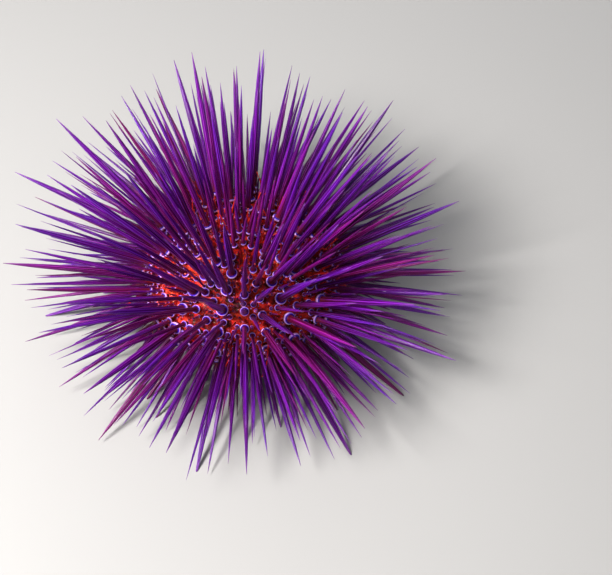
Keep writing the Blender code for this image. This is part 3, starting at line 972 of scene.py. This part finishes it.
PINCER_SORTS = (
    (0.62, ((0.16, 0.002, 0.003), (0.38, 0.006, 0.006), (0.4, 0.015, 0.02), (0.5, 0.04, 0.05))),
    (0.95, ((0.12, 0.002, 0.006), (0.2, 0.008, 0.08), (0.2, 0.07, 0.62), (0.45, 0.32, 0.88))),
    (1.01, ((0.2, 0.004, 0.004), (0.4, 0.03, 0.01), (0.85, 0.55, 0.2), (0.95, 0.88, 0.55))),
)
FOOT_PLACES = (0, 0.5, 0.8, 1)
FOOT_SORTS = (
    (0.55, ((0.35, 0.004, 0.003), (0.75, 0.02, 0.006), (0.7, 0.03, 0.012), (0.62, 0.07, 0.06))),
    (1.01, ((0.1, 0.001, 0.002), (0.3, 0.004, 0.005), (0.42, 0.01, 0.02), (0.42, 0.06, 0.14))),
)
TOOTH_COLOURS = ((0.3, (0.78, 0.7, 0.55)), (0.55, (0.62, 0.5, 0.34)), (0.85, (0.3, 0.17, 0.09)))
STREAK_STRETCH = (1.5, 1.5, 0.5)
STREAK_SCALE = 1.9
TINT_SHIFT = 40
MOTTLE_SCALE = 230
FIBRE_SCALE = 1300
SPOT_SCALE = 1150
SPOT_SHARE = 0.9
BAND_GLOW = 0.1
GRAIN_SCALE = 2400
STAIN_SCALE = 900
TOOTH_GRAIN = (3000, 3000, 300)
TOOTH_HEIGHTS = (0.0055, 0.0085)


def new_material(name):
    """An empty finish, its wiring and its shader node."""
    material = bpy.data.materials.new(name)
    material.use_nodes = True
    shader = material.node_tree.nodes["Principled BSDF"]
    return material, Wiring(material.node_tree), shader


def bumped(wire, strength, depth, height):
    """Relief from a height, with its depth in metres."""
    return wire.add("ShaderNodeBump", {"Strength": strength, "Distance": depth, "Height": height})


def spine_finish(name, colours):
    """A ribbed spine: red muscle, lavender collar with a blue inner rim, maroon foot, rib crests painted
    pale as highlights and grooves painted dark as shade.
    """
    material, wire, shader = new_material(name)
    paint = wire.carried("paint")
    tint = wire.carried("tint")
    grain = wire.carried("grain", 1)
    own = wire.add("ShaderNodeCombineXYZ", {2: wire.times(tint, TINT_SHIFT)})
    drawn_out = wire.vector("ADD", wire.vector("MULTIPLY", grain, STREAK_STRETCH), own)
    streaks = wire.noise(drawn_out, STREAK_SCALE, 5, Roughness=0.65)
    across, beside, _ = wire.parts(grain)
    around = wire.times(wire.math("ARCTAN2", beside, across), float(RIBS))
    rib = wire.times(wire.math("COSINE", around), -1)
    upper = wire.ranged(paint, (0.24, 0.32), (0, 1))
    redder = wire.times(wire.ranged(tint, (0.68, 1), (0, 0.85)), upper)
    colour = wire.mixed(redder, wire.ramp(paint, colours), REDDISH_PURPLE)
    above = wire.ranged(paint, (0.22, 0.34), (0, 1))
    dark = wire.ranged(streaks, (0.38, 0.53), (0.92, 0))
    # Painted shade: the grooves between the ribs are darkened, along with the darker streaks
    groove_shade = wire.ranged(rib, (-1, 0.2), (0.75, 0))
    dark = wire.times(wire.math("MAXIMUM", dark, groove_shade), above)
    colour = wire.mixed(dark, colour, GROOVE_SHADE_AND_STREAK_PURPLE)
    lit = wire.times(wire.ranged(streaks, (0.5, 0.66), (0, 0.7)), above)
    colour = wire.mixed(lit, colour, wire.mixed(tint, LIT_VIOLET, LIT_MAGENTA))
    # Painted highlight: the rib crests are paled, broken up by the streaks
    crest = wire.ranged(rib, (0.62, 1), (0, 0.85))
    broken = wire.ranged(streaks, (0.4, 0.6), (0.15, 1))
    pale = wire.times(wire.times(crest, broken), above)
    height = wire.math("ADD", streaks, wire.times(rib, 0.25))
    wire.fill(shader, {
        "Base Color": wire.mixed(pale, colour, wire.mixed(tint, PAINTED_HIGHLIGHT_LAVENDER, PAINTED_HIGHLIGHT_PINK)),
        "Roughness": wire.ranged(streaks, (0.3, 0.7), (0.2, 0.42)),
        "Specular IOR Level": 0.17,
        "Coat Weight": 0.1,
        "Coat Roughness": 0.05,
        "Normal": bumped(wire, 0.7, 0.00012, height),
    })
    return material


def skin_finish():
    """Wet red skin: dark and bright patches, bright fibres, painted shade in the hollows between the
    fibres, and a few blue, lavender and yellow grains.
    """
    material, wire, shader = new_material("wet red skin")
    place = wire.place()
    mottle = wire.noise(place, MOTTLE_SCALE, 5, Roughness=0.6)
    fibres = wire.noise(place, FIBRE_SCALE, 3, Distortion=2.2)
    glow = wire.math("ADD", mottle, wire.times(wire.carried("band"), BAND_GLOW))
    colour = wire.ramp(glow, SKIN_COLOURS)
    colour = wire.mixed(wire.ranged(fibres, (0.56, 0.68), (0, 0.75)), colour, FIBRE_RED)
    # Painted shade: the hollows between the raised fibres are darkened
    colour = wire.mixed(wire.ranged(fibres, (0.4, 0.5), (0.8, 0)), colour, HOLLOW_SHADE_RED)
    cells = wire.add("ShaderNodeTexVoronoi", {"Vector": place, "Scale": SPOT_SCALE}).node.outputs
    spots = wire.ranged(cells["Distance"], (0.16, 0.26), (0.85, 0))
    few = wire.add("ShaderNodeSeparateColor", {0: cells["Color"]})
    chosen = wire.times(spots, wire.math("GREATER_THAN", few, SPOT_SHARE))
    height = wire.math("ADD", fibres, wire.times(spots, 0.4))
    wire.fill(shader, {
        "Base Color": wire.mixed(chosen, colour, wire.ramp(few, SPOT_COLOURS, "CONSTANT")),
        "Roughness": 0.35,
        "Specular IOR Level": 0.15,
        "Coat Weight": 0.06,
        "Coat Roughness": 0.1,
        "Normal": bumped(wire, 0.7, 0.0003, height),
    })
    return material


def banded_finish(name, roughness, places, sorts):
    """A soft small part coloured from root to end, with a sort of colours for each range of tints."""
    material, wire, shader = new_material(name)
    paint = wire.carried("paint")
    tint = wire.carried("tint")
    grain = wire.noise(wire.place(), GRAIN_SCALE, 2)
    ramps = [wire.ramp(paint, list(zip(places, colours))) for _, colours in sorts]
    colour = ramps[0]
    for (end, _), other in zip(sorts, ramps[1:]):
        colour = wire.mixed(wire.math("GREATER_THAN", tint, end), colour, other)
    shade = wire.ranged(grain, (0.3, 0.7), (0.65, 1.15))
    wire.fill(shader, {
        "Base Color": wire.mixed(1, colour, shade, "MULTIPLY"),
        "Roughness": roughness,
        "Specular IOR Level": 0.3,
        "Normal": bumped(wire, 0.5, 0.0001, grain),
    })
    return material


def tooth_finish():
    """Chalky cream teeth, browner towards the root and worn pale at the edge."""
    material, wire, shader = new_material("chalky tooth")
    place = wire.place()
    stains = wire.noise(place, STAIN_SCALE, 4, Roughness=0.6)
    long_grain = wire.noise(wire.vector("MULTIPLY", place, TOOTH_GRAIN), 1, 2)
    near_root = wire.ranged(wire.parts(place)[2], TOOTH_HEIGHTS, (0, 0.5))
    browned = wire.math("ADD", wire.times(stains, 0.8), near_root)
    wire.fill(shader, {
        "Base Color": wire.ramp(browned, TOOTH_COLOURS),
        "Roughness": wire.ranged(stains, (0.3, 0.7), (0.3, 0.55)),
        "Normal": bumped(wire, 0.5, 0.00006, long_grain),
    })
    return material


# The stage

FLOOR_COLOUR = (0.39, 0.387, 0.383, 1)
BACKDROP_GLOW = (0.95, 0.96, 1, 1)
GLOW_HEIGHTS = (0, 0.2)
GLOW_STRENGTHS = (0, 0.26)
FLOOR_RADIUS = 2
CURVE_RADIUS = 1
BACKDROP_HEIGHT = 3.5
FLOOR_TURNS = 72
SURROUND_COLOUR = (0.9, 0.93, 1, 1)
SURROUND_STRENGTH = 0.05
LIGHT_AIM = Vector((0, 0, 0.02))
Light = namedtuple("Light", "name place size power colour")
LIGHTS = (
    Light("key", (-0.29, -0.2, 0.42), 0.15, 6.4, (1, 0.97, 0.94)),
    Light("fill", (0.4, -0.45, 0.4), 0.5, 0.2, (0.95, 0.96, 1)),
    Light("back", (0.1, 0.5, 0.3), 0.4, 0.6, (0.95, 0.96, 1)),
    Light("overhead", (0, 0, 2.4), 2.5, 9, (0.97, 0.98, 1)),
)
CAMERA_DISTANCE = 0.42
CAMERA_RISE = 54.0
CAMERA_ROLL = 4.0
CAMERA_LENS = 84.0
CAMERA_ASIDE = 0.0185
CAMERA_DOWN = 0.0037


def floor_finish():
    """Plain pale matt floor, which glows faintly where it rises into the backdrop."""
    material, wire, shader = new_material("pale floor")
    wire.fill(shader, {
        "Base Color": FLOOR_COLOUR,
        "Roughness": 0.85,
        "Emission Color": BACKDROP_GLOW,
        "Emission Strength": wire.ranged(wire.parts(wire.place())[2], GLOW_HEIGHTS, GLOW_STRENGTHS),
    })
    return material


def build_floor():
    """A round floor that curves up into a backdrop."""
    points = [(0.0, 0.0), (FLOOR_RADIUS / 2, 0.0), (FLOOR_RADIUS, 0.0)]
    for turn in range(10, 91, 10):
        rise = radians(turn)
        points.append((FLOOR_RADIUS + CURVE_RADIUS * sin(rise), CURVE_RADIUS * (1 - cos(rise))))
    points.append((FLOOR_RADIUS + CURVE_RADIUS, BACKDROP_HEIGHT))
    bm = bmesh.new()
    verts = [bm.verts.new((radius, 0.0, height)) for radius, height in points]
    edges = [bm.edges.new(pair) for pair in zip(verts, verts[1:])]
    bmesh.ops.spin(bm, geom=verts + edges, cent=(0, 0, 0), axis=(0, 0, 1), angle=2 * pi,
                   steps=FLOOR_TURNS)
    bmesh.ops.remove_doubles(bm, verts=bm.verts, dist=0.0001)
    mesh = bpy.data.meshes.new("floor")
    bm.to_mesh(mesh)
    bm.free()
    mesh.shade_smooth()
    mesh.materials.append(floor_finish())
    linked("floor", mesh)


def build_lights():
    """A soft key from the upper left, weaker lights round and over the model, and a dim surround."""
    world = bpy.data.worlds.new("studio")
    bpy.context.scene.world = world
    world.use_nodes = True
    surround = world.node_tree.nodes["Background"]
    Wiring(world.node_tree).fill(surround, {"Color": SURROUND_COLOUR, "Strength": SURROUND_STRENGTH})
    for name, place, size, power, colour in LIGHTS:
        light = bpy.data.lights.new(name, "AREA")
        light.shape = "SQUARE"
        light.size = size
        light.energy = power
        light.color = colour
        lamp = linked(name, light)
        lamp.location = place
        lamp.rotation_mode = "QUATERNION"
        lamp.rotation_quaternion = (LIGHT_AIM - Vector(place)).to_track_quat("-Z", "Y")
    bpy.context.scene.view_settings.view_transform = "Standard"


def build_camera():
    """The camera at the photograph's angle, with the shell left of the middle of the frame."""
    rise = radians(CAMERA_RISE)
    roll = radians(CAMERA_ROLL)
    towards = Vector((0, -cos(rise), sin(rise)))
    upright = Vector((0, sin(rise), cos(rise)))
    level = Vector((1, 0, 0))
    right = cos(roll) * level + sin(roll) * upright
    up = cos(roll) * upright - sin(roll) * level
    centre = AXIS_PLACE + Vector((0, 0, WAIST_HEIGHT))
    target = centre + CAMERA_ASIDE * right - CAMERA_DOWN * up
    camera = linked("camera", bpy.data.cameras.new("camera"))
    camera.data.lens = CAMERA_LENS
    turn = Matrix((right, up, towards)).transposed()
    camera.matrix_world = Matrix.Translation(target + CAMERA_DISTANCE * towards) @ turn.to_4x4()
    bpy.context.scene.camera = camera


def main():
    kinds = lay_out()
    spine = spine_finish("streaked purple spine", SPINE_COLOURS)
    short_spine = spine_finish("short reddish spine", SMALL_SPINE_COLOURS)
    pincer = banded_finish("small pincer", 0.45, PINCER_PLACES, PINCER_SORTS)
    foot = banded_finish("red tube foot", 0.35, FOOT_PLACES, FOOT_SORTS)
    forms = {name: build_form(name, *form) for name, form in FORMS.items()}
    fine, blunt, plain, small, claw, sucker = forms.values()
    start = SHAFT_START
    roots = points_object("roots", kinds["wide"] + kinds["narrow"] + kinds["standing"] + kinds["filling"])
    build_skin(roots, skin_finish())
    tree = growing_tree()
    grown_piece("interambulacral_spines", kinds["wide"], fine, start, spine, tree)
    grown_piece("ambulacral_spines", kinds["narrow"], fine, start, spine, tree)
    grown_piece("standing_spines", kinds["standing"], blunt, start, spine, tree)
    grown_piece("apical_spines", kinds["apical"], fine, start, spine, tree)
    grown_piece("secondary_spines", kinds["filling"], plain, start, spine, tree)
    grown_piece("miliary_spines", kinds["small"], small, start, short_spine, tree)
    grown_piece("pincers", kinds["pincers"], claw, 0.0, pincer, tree)
    grown_piece("tube_feet", kinds["feet"], sucker, 0.0, foot, tree)
    build_teeth(tooth_finish())
    for obj in (*forms.values(), roots):
        bpy.data.objects.remove(obj, do_unlink=True)
    build_floor()
    build_lights()
    build_camera()


main()
